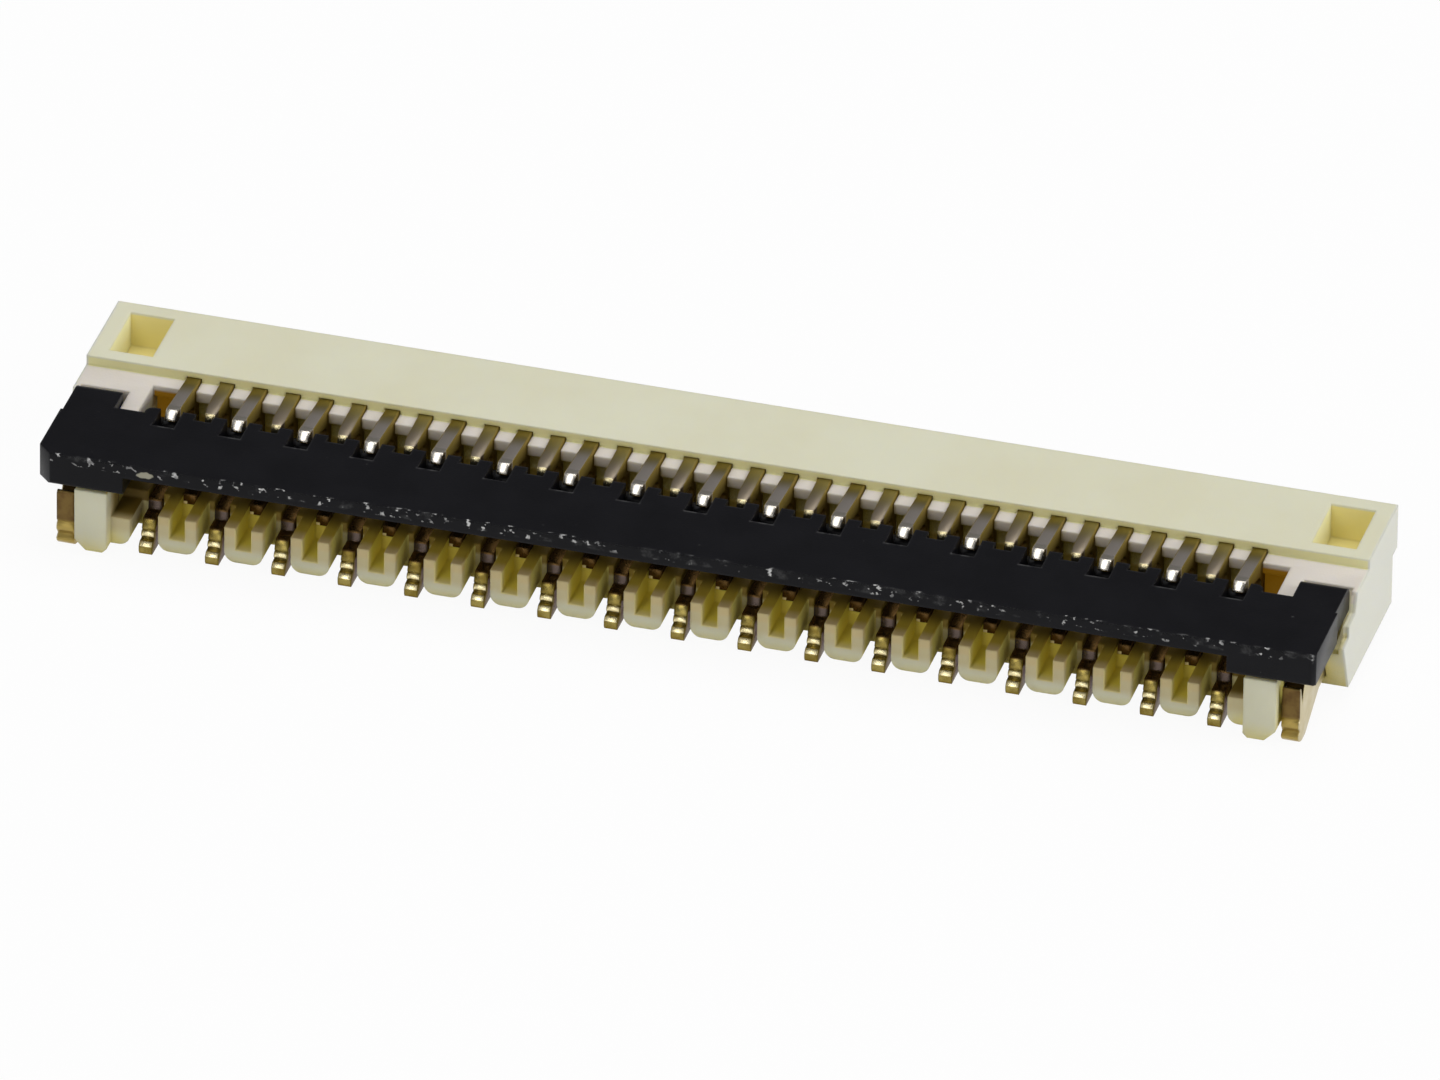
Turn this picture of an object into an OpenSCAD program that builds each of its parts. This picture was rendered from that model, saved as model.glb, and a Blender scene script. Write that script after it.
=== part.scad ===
// Board connector for a flat flexible cable, with a flip-up actuator.
// X runs along the contact row, +Y points out of the cable mouth, Z is up from the solder plane.
// Profiles are drawn in (y, z) with y = 0 at the mouth edge of the roof.

/* [Contact row] */
// Number of contacts, odd so that both end contacts have a rear tail
positions = 33; // [9:2:51]
// Spacing of neighbouring contacts
pitch = 0.3; // [0.29:0.01:0.36]
// Sheet thickness of the contacts
contact_t = 0.12; // [0.1:0.01:0.13]
// Side clearance of a contact in its slot
contact_gap = 0.01; // [0.005:0.005:0.015]
// End of the long contact arms, measured back from the mouth edge
long_tip = 1.65; // [1.63:0.005:1.66]
// End of the short contact arms
short_tip = 1.5; // [1.48:0.005:1.505]
// Rear end of the contacts that have a front tail
stub_back = 2.06; // [2.02:0.01:2.1]
// Rear tail end, measured back from the mouth edge
tail_back = 2.41; // [2.39:0.01:2.44]
// How far the front tails stand out from the mouth edge
tail_front = 0.4; // [0.3:0.01:0.5]
// Thickness of a solder foot
foot_h = 0.12; // [0.1:0.01:0.13]

/* [Housing] */
// Height of the roof above the solder plane
height = 1.0; // [0.98:0.01:1.06]
// Depth of the flat roof from the mouth back to the step
roof_d = 0.95; // [0.93:0.01:0.97]
// Drop from the roof to the ledge behind it
step_h = 0.09; // [0.085:0.005:0.1]
// How far the contact arms stand above the ledge where they leave the roof
arm_up = 0.03; // [0.02:0.005:0.035]
// Length of the ribs that part the contact arms behind the step
rib_len = 0.17; // [0.16:0.01:0.19]
// Thickness of those ribs
rib_t = 0.1; // [0.08:0.01:0.12]
// Overhang from the last contact to the end of the housing
end_len = 0.98; // [0.96:0.01:1.1]
// Underside of the housing above the solder plane
base_z = 0.1; // [0.08:0.01:0.12]
// Top of the rear floor that carries the contacts
floor_z = 0.44; // [0.42:0.01:0.46]
// Set-back of the lower lip of the mouth from the roof edge
lip_back = 0.15; // [0.12:0.01:0.18]
// Underside of the roof edge at the end walls
lip_z = 0.57; // [0.55:0.01:0.58]
// Rear end of the end walls
wall_back = 1.6; // [1.58:0.01:1.64]
// Rear face of the lumps between the rear tails
lump_back = 2.45; // [2.42:0.01:2.47]
// Width of those lumps
lump_w = 0.345; // [0.32:0.005:0.37]
// Length of the open gaps between the lumps
lump_d = 0.37; // [0.34:0.01:0.4]
// Corner radius under the lumps and posts
lump_r = 0.1; // [0.06:0.01:0.12]
// Width of the posts at both ends of the rear side
post_w = 0.29; // [0.26:0.01:0.3]
// Rear face of the posts
post_back = 2.58; // [2.55:0.01:2.59]

/* [Cable slot] */
// Height of the slot for the cable
slot_h = 0.24; // [0.22:0.01:0.26]
// Bottom of the slot above the solder plane
slot_z = 0.36; // [0.35:0.01:0.37]
// Room from the last contact to the side of the slot
slot_side = 0.35; // [0.33:0.01:0.36]
// Lead-in chamfer at the mouth
lead_in = 0.05; // [0.03:0.01:0.06]

/* [Roof pockets] */
// Width of the blind pocket near each end of the roof
pocket_w = 0.4; // [0.36:0.01:0.42]
// Length of the pocket
pocket_l = 0.66; // [0.6:0.01:0.68]
// Depth of the pocket
pocket_d = 0.34; // [0.3:0.01:0.36]
// Distance of the pocket from the mouth edge
pocket_edge = 0.15; // [0.12:0.01:0.17]

/* [Actuator] */
// Rear edge of the actuator, measured back from the mouth edge
lever_back = 2.6; // [2.58:0.01:2.66]
// Back edge of the actuator between the end arms
lever_front = 1.61; // [1.6:0.005:1.625]
// Reach of the end arms from the pivot up to the roof level
boss_r = 0.23; // [0.225:0.005:0.235]
// Distance of the pivot behind the roof step
pivot_back = 0.57; // [0.565:0.005:0.59]
// Radius of the pivot shaft
shaft_r = 0.07; // [0.065:0.005:0.07]
// Radius of the cam bar under the contact arms
cam_r = 0.085; // [0.08:0.005:0.085]
// Running clearance of the shaft and of the cam
run_gap = 0.01; // [0.01:0.005:0.015]
// Clearance around the end arms in the housing
boss_gap = 0.02; // [0.02:0.005:0.025]
// Underside of the plate below the roof level
plate_t = 0.26; // [0.24:0.01:0.27]
// Thickness of the thin rear edge between the ends
edge_t = 0.135; // [0.11:0.005:0.16]
// Gap from the end of the actuator to the end of the housing
lever_in = 0.045; // [0.04:0.005:0.06]
// Thickness of the housing skin outside the end arms
skin_t = 0.055; // [0.05:0.005:0.06]
// Width of the notch around each long contact tip
notch_w = 0.2; // [0.18:0.01:0.22]
// Depth of that notch
notch_d = 0.28; // [0.27:0.01:0.29]
// Width of the dip behind each short contact tip
dip_w = 0.16; // [0.155:0.005:0.17]
// Depth of that dip
dip_d = 0.1; // [0.1:0.005:0.11]
// Chamfer of the left rear corner
corner_left = 0.13; // [0.1:0.01:0.16]
// Chamfer of the right rear corner
corner_right = 0.04; // [0.03:0.01:0.16]

/* [Solder nails] */
// Sheet thickness of the nails
nail_t = 0.16; // [0.14:0.01:0.18]
// Distance from the last contact to the middle of the nail
nail_out = 0.7; // [0.69:0.01:0.72]
// Rear end of the nails
nail_back = 2.5; // [2.48:0.01:2.54]
// Height of the nail at its rear end
nail_h = 0.56; // [0.53:0.01:0.6]

/* [Hidden] */
$fn = 48;
eps = 0.05;

row = pitch * (positions - 1) / 2;
half_w = row + end_len;
lever_w = half_w - lever_in;
slot_w = contact_t + 2 * contact_gap;

// heights
ledge_z = height - step_h;
arm_z = ledge_z + arm_up;
arm_gap = 0.004;
rib_z = ledge_z - rib_t;
slot_top = slot_z + slot_h;
groove_z = base_z + 0.05;
blind_z = base_z + 0.11;
notch_z = base_z + 0.125;
stub_z = floor_z - 0.08;
lump_z = base_z - 0.005;
post_z = base_z - 0.04;
pivot_z = height - boss_r;
plate_z = height - plate_t;
end_low = plate_z - 0.05;
arm_low = pivot_z - 0.025;
nail_top = floor_z - 0.02;
nail_low = base_z + 0.1;

// depths from the mouth edge
rib_y = -(roof_d + rib_len);
web_y = -(roof_d + rib_len / 2);
root_y = -(roof_d - 0.25);
pivot_y = -(roof_d + pivot_back);
seat_y = pivot_y - shaft_r - 0.03;
arm_end = pivot_y + 0.14;
cam_y = pivot_y + 0.08;
cam_z = pivot_z - 0.06;
lump_y = -(lump_back - lump_d);
foot_y = -(tail_back - 0.56);
mouth_y = -(lip_back + 0.02);
jaw_y = -(lip_back + 0.07);
bead_y = -(lip_back + 0.21);
heel_y = -(roof_d - 0.45);
notch_y = -(lever_front + 0.1);
tooth_y = -(lever_front + 0.15);
taper_y = -(lever_back - 0.6);
kink_y = -(lever_front + 0.25);
post_y = lump_y - 0.12;
shift_y = (lever_back - tail_front) / 2;

// end features, measured out from the last contact
block_in = row + 0.32;
block_out = row + 0.485;
arm_in = block_out + run_gap;
post_in = row + 0.3;
thick_in = row + 0.15;
plate_end = row + 0.22;
pocket_in = row + slot_side + 0.07;
nail_x = row + nail_out;
arm_r = 0.1;
corner_r = 0.07;
skin_in = half_w - skin_t;
arm_out = skin_in - 0.01;

// heights of the contact arms at their tips
long_tip_top = height - 0.003;
long_tip_low = pivot_z + shaft_r + 0.06;
short_tip_top = ledge_z + 0.02;
short_tip_low = pivot_z + shaft_r + run_gap;
arm_belly = cam_z + cam_r + run_gap + 0.005;

contact_names = [for (i = [1:positions]) str("contact_", i < 10 ? "0" : "", i)];

function is_rear(i) = i % 2 == 1;
function contact_x(i) = (i - 1) * pitch - row;

// a (y, z) profile drawn out along X from x0 to x1
module along_x(x0, x1) {
    translate([x0, shift_y, 0])
        rotate([90, 0, 90])
            linear_extrude(x1 - x0)
                children();
}

// an (x, z) profile drawn out along Y from y0 to y1
module along_y(y0, y1) {
    translate([0, y1 + shift_y, 0])
        rotate([90, 0, 0])
            linear_extrude(y1 - y0)
                children();
}

// an (x, y) profile drawn up from z0 to z1
module along_z(z0, z1) {
    translate([0, shift_y, z0])
        linear_extrude(z1 - z0)
            children();
}

// a rectangle given by its limits
module box2(a0, a1, b0, b1) {
    translate([a0, b0])
        square([a1 - a0, b1 - b0]);
}

module both_ends() {
    children();
    mirror([1, 0, 0])
        children();
}

// Housing

module wall_profile() {
    polygon([
        [-lip_back, base_z],
        [-lip_back, lip_z],
        [0, lip_z],
        [0, height],
        [-roof_d, height],
        [-roof_d, ledge_z],
        [seat_y, ledge_z],
        [seat_y, arm_low - 0.13],
        [-wall_back - 0.19, arm_low - 0.15],
        [-wall_back, base_z],
    ]);
}

module mid_profile() {
    polygon([
        [-lip_back, base_z],
        [-lip_back, lip_z],
        [0, lip_z],
        [0, height],
        [-roof_d, height],
        [-roof_d, ledge_z],
        [rib_y, ledge_z],
        [rib_y, rib_z],
        [web_y, rib_z - 0.06],
        [web_y, floor_z],
        [-lump_back, floor_z],
        [-lump_back, lump_z],
        [lump_y - 0.05, lump_z],
        [lump_y, base_z],
    ]);
}

module block_profile() {
    difference() {
        box2(seat_y, rib_y + eps, base_z, ledge_z);
        translate([pivot_y, pivot_z])
            circle(shaft_r + run_gap);
        box2(seat_y - eps, pivot_y, pivot_z - 0.055, pivot_z + 0.055);
    }
}

// room for the end arms to turn in
module arm_room() {
    translate([pivot_y, pivot_z])
        circle(boss_r + boss_gap);
    box2(-3, pivot_y + boss_r + run_gap, pivot_z, height + eps);
    box2(-3, pivot_y, pivot_z - boss_r - boss_gap, height + eps);
}

module slot_profile() {
    polygon([
        [eps, slot_z],
        [-lip_back + eps, slot_z - lead_in - eps],
        [-lip_back - lead_in, slot_z],
        [-roof_d + 0.02, slot_z],
        [-roof_d + 0.02, slot_top],
        [-lead_in, slot_top],
        [eps, slot_top + lead_in + eps],
    ]);
}

module rear_slot() {
    polygon([
        [mouth_y, groove_z],
        [mouth_y, ledge_z],
        [root_y, ledge_z],
        [-roof_d, arm_z + arm_gap],
        [-roof_d, height + eps],
        [-3, height + eps],
        [-3, -eps],
        [foot_y, -eps],
        [foot_y, groove_z],
    ]);
}

module front_slot() {
    polygon([
        [eps, -eps],
        [eps, slot_z],
        [mouth_y, slot_z],
        [mouth_y, ledge_z],
        [root_y, ledge_z],
        [-roof_d, arm_z + arm_gap],
        [-roof_d, height + eps],
        [-3, height + eps],
        [-3, notch_z],
        [-stub_back, notch_z],
        [-stub_back, stub_z],
        [rib_y - 0.06, stub_z],
        [rib_y - 0.06, groove_z],
        [heel_y, groove_z],
        [heel_y, -eps],
    ]);
}

// the open gap around a rear tail, which rounds the lower corners of the lumps beside it
module lump_gap() {
    gap = 2 * pitch - lump_w;
    box2(-gap / 2, gap / 2, -eps, floor_z + eps);
    for (s = [-1, 1])
        difference() {
            box2(s > 0 ? gap / 2 - eps : -gap / 2 - lump_r, s > 0 ? gap / 2 + lump_r : -gap / 2 + eps,
                 -eps, lump_z + lump_r);
            translate([s * (gap / 2 + lump_r), lump_z + lump_r])
                circle(lump_r);
        }
}

module post_profile() {
    x1 = post_in + post_w;
    polygon([
        [post_in, post_z + 0.04],
        [post_in, end_low - 0.03],
        [x1, end_low - 0.03],
        [x1, post_z + lump_r],
        [x1 - lump_r, post_z],
        [post_in + 0.04, post_z],
    ]);
}

// the thin skin that closes the seat of an end arm
module skin_profile() {
    difference() {
        wall_profile();
        polygon([
            [arm_end + 0.05, ledge_z + eps],
            [arm_end - 0.03, arm_low - 0.01],
            [seat_y - eps, arm_low - 0.03],
            [-3, arm_low - 0.03],
            [-3, ledge_z + eps],
        ]);
    }
}

module housing_end() {
    // end wall with its concave seat for the actuator arm
    difference() {
        along_x(block_in, skin_in)
            wall_profile();
        along_x(block_out, skin_in + eps)
            arm_room();
        along_x(block_in - eps, block_out)
            box2(-3, rib_y, floor_z, height + eps);
        along_z(height - pocket_d, height + eps)
            box2(pocket_in, pocket_in + pocket_w, -pocket_edge - pocket_l, -pocket_edge);
        along_x(block_in - eps, row + slot_side)
            slot_profile();
        along_x(nail_x - nail_t / 2 - contact_gap, nail_x + nail_t / 2 + contact_gap)
            box2(-3, -roof_d + 0.05, nail_low, nail_top);
    }
    along_x(skin_in, half_w)
        skin_profile();
    along_x(block_in, block_out)
        block_profile();
    // rear floor and post beside the nail
    along_x(block_in, post_in + post_w)
        box2(post_y - 0.1, rib_y, base_z, floor_z);
    along_y(-post_back, post_y)
        post_profile();
}

module housing() {
    color("#d9d5bd") {
        both_ends()
            housing_end();
        difference() {
            along_x(-block_in - eps, block_in + eps)
                mid_profile();
            along_x(-block_in - 2 * eps, block_in + 2 * eps)
                slot_profile();
            for (i = [1:positions])
                along_x(contact_x(i) - slot_w / 2, contact_x(i) + slot_w / 2)
                    if (is_rear(i)) rear_slot();
                    else front_slot();
            for (i = [1:2:positions])
                translate([contact_x(i), 0, 0])
                    along_y(-lump_back - eps, lump_y)
                        lump_gap();
            // the half lump beside each post is lower than the others
            both_ends()
                along_x(row + slot_w / 2 + contact_gap, block_in + 2 * eps)
                    box2(-3, lump_y, stub_z, height);
        }
    }
}

// Actuator

module plate_profile() {
    polygon([
        [-lever_front, height],
        [-lever_front, pivot_z - shaft_r],
        [notch_y, plate_z],
        [taper_y, plate_z],
        [-lever_back, height - edge_t],
        [-lever_back, height],
    ]);
}

module pivot_profile() {
    translate([pivot_y, pivot_z])
        circle(shaft_r);
    translate([cam_y, cam_z])
        circle(cam_r);
}

module web_profile() {
    box2(-lever_front - 0.05, pivot_y, pivot_z - shaft_r, pivot_z + shaft_r);
}

module end_profile() {
    polygon([
        [notch_y, height],
        [notch_y, plate_z],
        [tooth_y, plate_z],
        [tooth_y - 0.02, end_low],
        [-lever_back + 0.02, end_low],
        [-lever_back, end_low + 0.02],
        [-lever_back, height],
    ]);
}

module arm_profile() {
    box2(tooth_y, arm_end - arm_r, arm_low, height);
    box2(arm_end - arm_r - eps, arm_end, arm_low, height - arm_r);
    translate([arm_end - arm_r, height - arm_r])
        circle(arm_r);
}

// the opening in the plate's back edge behind a contact tip
module tip_notch(x, width, depth, low) {
    along_z(low, height + eps)
        box2(x - width / 2, x + width / 2, -lever_front - depth, pivot_y + eps);
}

module actuator_end(chamfer) {
    difference() {
        union() {
            along_x(thick_in, arm_out)
                end_profile();
            along_x(arm_out - eps, lever_w)
                difference() {
                    end_profile();
                    box2(kink_y, 0, 0, height + eps);
                }
            along_x(arm_in, arm_out)
                arm_profile();
        }
        along_z(end_low - eps, height + eps)
            polygon([
                [lever_w + eps, -lever_back - eps],
                [lever_w + eps, -lever_back + chamfer + eps],
                [lever_w - chamfer - eps, -lever_back - eps],
            ]);
        // rounded inner corner of the arm
        along_z(arm_low - eps, height + eps)
            difference() {
                box2(arm_in - eps, arm_in + corner_r, arm_end - corner_r, arm_end + eps);
                translate([arm_in + corner_r, arm_end - corner_r])
                    circle(corner_r);
            }
    }
}

module actuator() {
    color("#1c1c1e") {
        actuator_end(corner_right);
        mirror([1, 0, 0])
            actuator_end(corner_left);
        along_x(-arm_in - eps, arm_in + eps)
            translate([pivot_y, pivot_z])
                circle(shaft_r);
        along_x(-plate_end, plate_end)
            pivot_profile();
        difference() {
            along_x(-plate_end, plate_end) {
                plate_profile();
                web_profile();
            }
            for (i = [1:positions])
                if (is_rear(i)) tip_notch(contact_x(i), notch_w, notch_d, 0);
                else tip_notch(contact_x(i), dip_w, dip_d, pivot_z + run_gap);
            // rounded end corners of the plate's back edge
            both_ends()
                along_z(0, height + eps)
                    difference() {
                        box2(plate_end - corner_r, plate_end + eps,
                             -lever_front - corner_r, -lever_front + eps);
                        translate([plate_end - corner_r, -lever_front - corner_r])
                            circle(corner_r);
                    }
        }
    }
}

// Contacts

// fork around the cable, pillar and rear arm, shared by both kinds; a short arm has a belly over the cam
module fork(tip, tip_top, tip_low, slant, belly = []) {
    polygon(concat([
        [jaw_y, slot_top + 0.06],
        [jaw_y, slot_top + 0.16],
        [heel_y - 0.05, ledge_z - 0.03],
        [root_y, ledge_z - 0.02],
        [-roof_d, arm_z],
        [tip + slant, tip_top],
        [tip, tip_low + 0.02],
        [tip + 0.01, tip_low],
    ], belly, [
        [rib_y - 0.06, arm_belly - 0.02],
        [rib_y + 0.02, slot_top + 0.11],
        [rib_y + 0.02, floor_z + 0.12],
        [rib_y - 0.06, floor_z + 0.03],
        [rib_y - 0.06, blind_z],
        [rib_y + 0.02, groove_z],
        [heel_y, groove_z],
        [jaw_y - 0.04, groove_z + 0.05],
        [jaw_y - 0.04, slot_z + 0.01],
        [bead_y + 0.06, slot_z + 0.04],
        [bead_y, slot_z + 0.04],
        [bead_y - 0.1, slot_z - 0.03],
        [-roof_d + 0.03, slot_z - 0.06],
        [-roof_d - 0.02, slot_z - 0.01],
        [-roof_d - 0.02, slot_top + 0.05],
        [-roof_d + 0.03, slot_top + 0.09],
        [bead_y - 0.1, slot_top + 0.05],
        [bead_y, slot_top - 0.03],
        [jaw_y - 0.06, slot_top - 0.03],
    ]));
}

// the stepped solder end that faces the viewer, from the foot up to the beam
module rear_tail() {
    y = -tail_back;
    cap = foot_h + 0.175;
    beam = cap + 0.095;
    polygon([
        [rib_y - 0.02, beam],
        [y + 0.3, beam],
        [y + 0.29, cap],
        [y + 0.14, cap],
        [y + 0.125, cap - 0.015],
        [y + 0.095, foot_h + 0.085],
        [y + 0.115, foot_h + 0.065],
        [y + 0.1, foot_h + 0.02],
        [y + 0.085, foot_h],
        [y + 0.03, foot_h - 0.005],
        [y, foot_h - 0.04],
        [y, 0.03],
        [y + 0.015, 0],
        [foot_y - 0.08, 0],
        [foot_y - 0.02, groove_z],
        [rib_y - 0.02, groove_z],
    ]);
    // rounded knuckle between the foot and the upper block
    translate([y + 0.11, foot_h + 0.035])
        circle(0.036);
}

module rear_contact() {
    fork(-long_tip, long_tip_top, long_tip_low, 0.05);
    rear_tail();
}

module front_contact() {
    y = tail_front;
    fork(-short_tip, short_tip_top, short_tip_low, 0.025, [[cam_y + 0.02, arm_belly]]);
    box2(-stub_back, rib_y - 0.02, stub_z, floor_z + 0.02);
    polygon([
        [heel_y + 0.05, groove_z],
        [heel_y + 0.12, 0],
        [y - 0.02, 0],
        [y, 0.02],
        [y, foot_h - 0.02],
        [y - 0.02, foot_h],
        [0.05, foot_h],
        [lip_back - 0.25, 2 * foot_h],
        [jaw_y - 0.02, slot_z - 0.06],
        [heel_y + 0.05, slot_z - 0.06],
    ]);
}

module contact(i) {
    x = contact_x(i);
    color(is_rear(i) ? "#c9a85a" : "#b9a06a")
        difference() {
            along_x(x - contact_t / 2, x + contact_t / 2)
                if (is_rear(i)) rear_contact();
                else front_contact();
            // the arm tips are coined narrower
            translate([x, 0, 0]) {
                tip_taper(is_rear(i) ? -long_tip : -short_tip);
                if (!is_rear(i))
                    mirror([1, 0, 0])
                        tip_taper(-short_tip);
            }
        }
}

// the wedge taken off one side of an arm tip
module tip_taper(tip) {
    half = contact_t / 2;
    along_z(slot_top + 0.15, height + eps)
        polygon([
            [half + eps, tip - eps],
            [half + eps, tip + 0.14],
            [half, tip + 0.14],
            [half - 0.02, tip + 0.02],
            [half - 0.025, tip - eps],
        ]);
}

// Solder nails

module nail_profile() {
    y = -nail_back;
    polygon([
        [-roof_d + 0.03, nail_low + 0.02],
        [-roof_d + 0.03, nail_top - 0.02],
        [-roof_d + 0.01, nail_top],
        [-wall_back - 0.14, nail_top],
        [-wall_back - 0.2, nail_h - 0.06],
        [y + 0.21, nail_h],
        [y + 0.1, nail_h - 0.2],
        [y + 0.05, nail_h],
        [y + 0.03, nail_h],
        [y + 0.015, nail_h - 0.03],
        [y + 0.015, foot_h + 0.15],
        [y + 0.03, foot_h + 0.13],
        [y + 0.03, foot_h + 0.02],
        [y + 0.045, foot_h],
        [y, foot_h - 0.03],
        [y + 0.01, 0.06],
        [y + 0.05, 0.02],
        [y + 0.11, 0],
        [y + 0.22, 0],
        [-wall_back - 0.24, nail_low],
        [-roof_d + 0.01, nail_low],
    ]);
    // rounded knuckle above the foot
    translate([y + 0.06, foot_h + 0.075])
        circle(0.056);
}

module nail(side) {
    color("#c4a467")
        along_x(side * nail_x - nail_t / 2, side * nail_x + nail_t / 2)
            nail_profile();
}

module nail_left() {
    nail(-1);
}

module nail_right() {
    nail(1);
}

housing();
actuator();
nail_left();
nail_right();
for (i = [1:positions])
    contact(i);
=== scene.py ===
# %% [markdown]
# This lesson dresses a small board connector for a flat flexible cable. The solids come from a
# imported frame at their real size, in metres, and stay exactly where they are. Everything here is
# finish: rounded moulding edges, plastics, plating, light and the camera.

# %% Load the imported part
import math

import bpy
from mathutils import Matrix, Vector


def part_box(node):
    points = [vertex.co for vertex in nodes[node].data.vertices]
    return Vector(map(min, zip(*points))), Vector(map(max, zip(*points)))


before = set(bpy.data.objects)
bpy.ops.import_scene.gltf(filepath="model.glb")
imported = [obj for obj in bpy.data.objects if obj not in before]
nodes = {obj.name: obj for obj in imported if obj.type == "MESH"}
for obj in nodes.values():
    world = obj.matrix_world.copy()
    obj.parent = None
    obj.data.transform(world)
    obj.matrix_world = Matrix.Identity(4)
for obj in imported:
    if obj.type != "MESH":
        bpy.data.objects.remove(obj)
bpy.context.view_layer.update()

print("solids:", len(nodes))

# %% [markdown]
# The finishes follow the drawing, so the places that they need are read off the solids where that
# is possible. Masks are easiest to write in millimetres, because the whole part is only a few
# millimetres across, so one helper turns the frame's metres into them.

# %% Measure the housing and the row of contacts
MM = 0.001


def in_mm(length):
    """A length of the frame in millimetres, without the noise of its last digits."""
    return round(length / MM, 4)


def middle_x(name):
    """The place of a node's middle along the row."""
    low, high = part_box(name)
    return in_mm((low.x + high.x) / 2)


housing_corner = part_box("housing")[1]
roof_z = in_mm(housing_corner.z)
half_width = in_mm(housing_corner.x)
row_end = middle_x("contact_33")
pitch = round(middle_x("contact_02") - middle_x("contact_01"), 4)
print("roof height", roof_z, "half width", half_width, "pitch", pitch, "row end", row_end)

# %% [markdown]
# The photograph was taken with a long lens from the rear of the connector, a little to the right
# and about a third of the way up. A long lens far away keeps parallel edges nearly parallel, which
# is why the row of contacts hardly shrinks from left to right. The camera matrix is built from its
# azimuth, elevation and roll, because that is easier to read and adjust than a typed rotation.

# %% Place the camera
VIEW_AZIMUTH = math.radians(15.632)
VIEW_ELEVATION = math.radians(31.862)
VIEW_ROLL = math.radians(0.721)
VIEW_DISTANCE = 251.255 * MM
VIEW_LENS = 728.44
SENSOR_WIDTH = 36
NEAR_CLIP, FAR_CLIP = 0.01, 20
AIM = Vector((0.2915, -1.0155, 0.9019)) * MM


def look_frame(azimuth, elevation, roll):
    """Right, up and back directions of a camera that looks at the part."""
    back = Vector((
        math.sin(azimuth) * math.cos(elevation),
        -math.cos(azimuth) * math.cos(elevation),
        math.sin(elevation),
    ))
    right = Vector((math.cos(azimuth), math.sin(azimuth), 0))
    up = back.cross(right)
    turned_right = math.cos(roll) * right + math.sin(roll) * up
    return turned_right, back.cross(turned_right), back


def make_camera():
    right, up, back = look_frame(VIEW_AZIMUTH, VIEW_ELEVATION, VIEW_ROLL)
    camera = bpy.data.objects.new("camera", bpy.data.cameras.new("camera"))
    camera.data.sensor_width = SENSOR_WIDTH
    camera.data.lens = VIEW_LENS
    camera.data.clip_start = NEAR_CLIP
    camera.data.clip_end = FAR_CLIP
    turn = Matrix((right, up, back)).transposed()
    camera.matrix_world = Matrix.Translation(AIM + back * VIEW_DISTANCE) @ turn.to_4x4()
    bpy.context.scene.collection.objects.link(camera)
    bpy.context.scene.camera = camera
    return camera


camera = make_camera()
bpy.context.scene.view_settings.view_transform = "Standard"
print("camera at (mm):", [round(c / MM, 1) for c in camera.location])

# %% [markdown]
# Shader trees are easier to read when each step is one call. These helpers add a node, link what
# is a socket and set what is a number, and hand back the output socket, so that a material reads
# like a formula from top to bottom.

# %% Node helpers
def add_node(tree, kind, **settings):
    made = tree.nodes.new(kind)
    for name, value in settings.items():
        setattr(made, name, value)
    return made


def put(tree, socket, value):
    """Links a socket, or sets a plain number or colour."""
    if isinstance(value, bpy.types.NodeSocket):
        tree.links.new(value, socket)
    else:
        socket.default_value = value


def calc(tree, operation, first, second=0.0):
    made = add_node(tree, "ShaderNodeMath", operation=operation)
    put(tree, made.inputs[0], first)
    put(tree, made.inputs[1], second)
    return made.outputs[0]


def calc_vector(tree, operation, first, second):
    made = add_node(tree, "ShaderNodeVectorMath", operation=operation)
    put(tree, made.inputs[0], first)
    put(tree, made.inputs[1], second)
    return made.outputs[0]


def split(tree, vector):
    """The X, Y and Z outputs of a vector."""
    made = add_node(tree, "ShaderNodeSeparateXYZ")
    put(tree, made.inputs[0], vector)
    return made.outputs


print("node helpers ready")

# %% [markdown]
# Most steps of a finish blend two colours or two values. The Mix node keeps a set of sockets for
# every kind of data under the same names, so these helpers pick theirs by their order. Colours are
# written as they look on a screen, and the shader needs them linear.

# %% Blending and colour helpers
def mix_colour(tree, factor, first, second):
    made = add_node(tree, "ShaderNodeMix", data_type="RGBA")
    put(tree, made.inputs[0], factor)
    put(tree, made.inputs[6], first)
    put(tree, made.inputs[7], second)
    return made.outputs[2]


def mix_value(tree, factor, first, second):
    made = add_node(tree, "ShaderNodeMix", data_type="FLOAT")
    put(tree, made.inputs[0], factor)
    put(tree, made.inputs[2], first)
    put(tree, made.inputs[3], second)
    return made.outputs[0]


def linear(red, green, blue):
    """A screen colour, 0 to 255 a channel, as linear light by the standard screen curve."""
    def channel(value):
        part = value / 255
        return part / 12.92 if part <= 0.04045 else ((part + 0.055) / 1.055) ** 2.4
    return (channel(red), channel(green), channel(blue), 1.0)


print("middle grey of a screen in linear light:", round(linear(128, 128, 128)[0], 3))

# %% [markdown]
# Two building blocks shape nearly every mask. A soft step runs from 0 to 1 between two limits, and
# noise gives the uneven patches and specks that keep a surface from looking computed.

# %% Step and noise helpers
def smooth_step(tree, value, low, high):
    """0 below low, 1 above high, with a soft passage between them."""
    made = add_node(tree, "ShaderNodeMapRange", interpolation_type="SMOOTHSTEP")
    put(tree, made.inputs["Value"], value)
    put(tree, made.inputs["From Min"], low)
    put(tree, made.inputs["From Max"], high)
    return made.outputs["Result"]


def noise(tree, place, scale, detail=2.0, roughness=0.5):
    made = add_node(tree, "ShaderNodeTexNoise")
    put(tree, made.inputs["Vector"], place)
    put(tree, made.inputs["Scale"], scale)
    put(tree, made.inputs["Detail"], detail)
    put(tree, made.inputs["Roughness"], roughness)
    return made.outputs["Fac"]


print("step and noise helpers ready")

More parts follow.
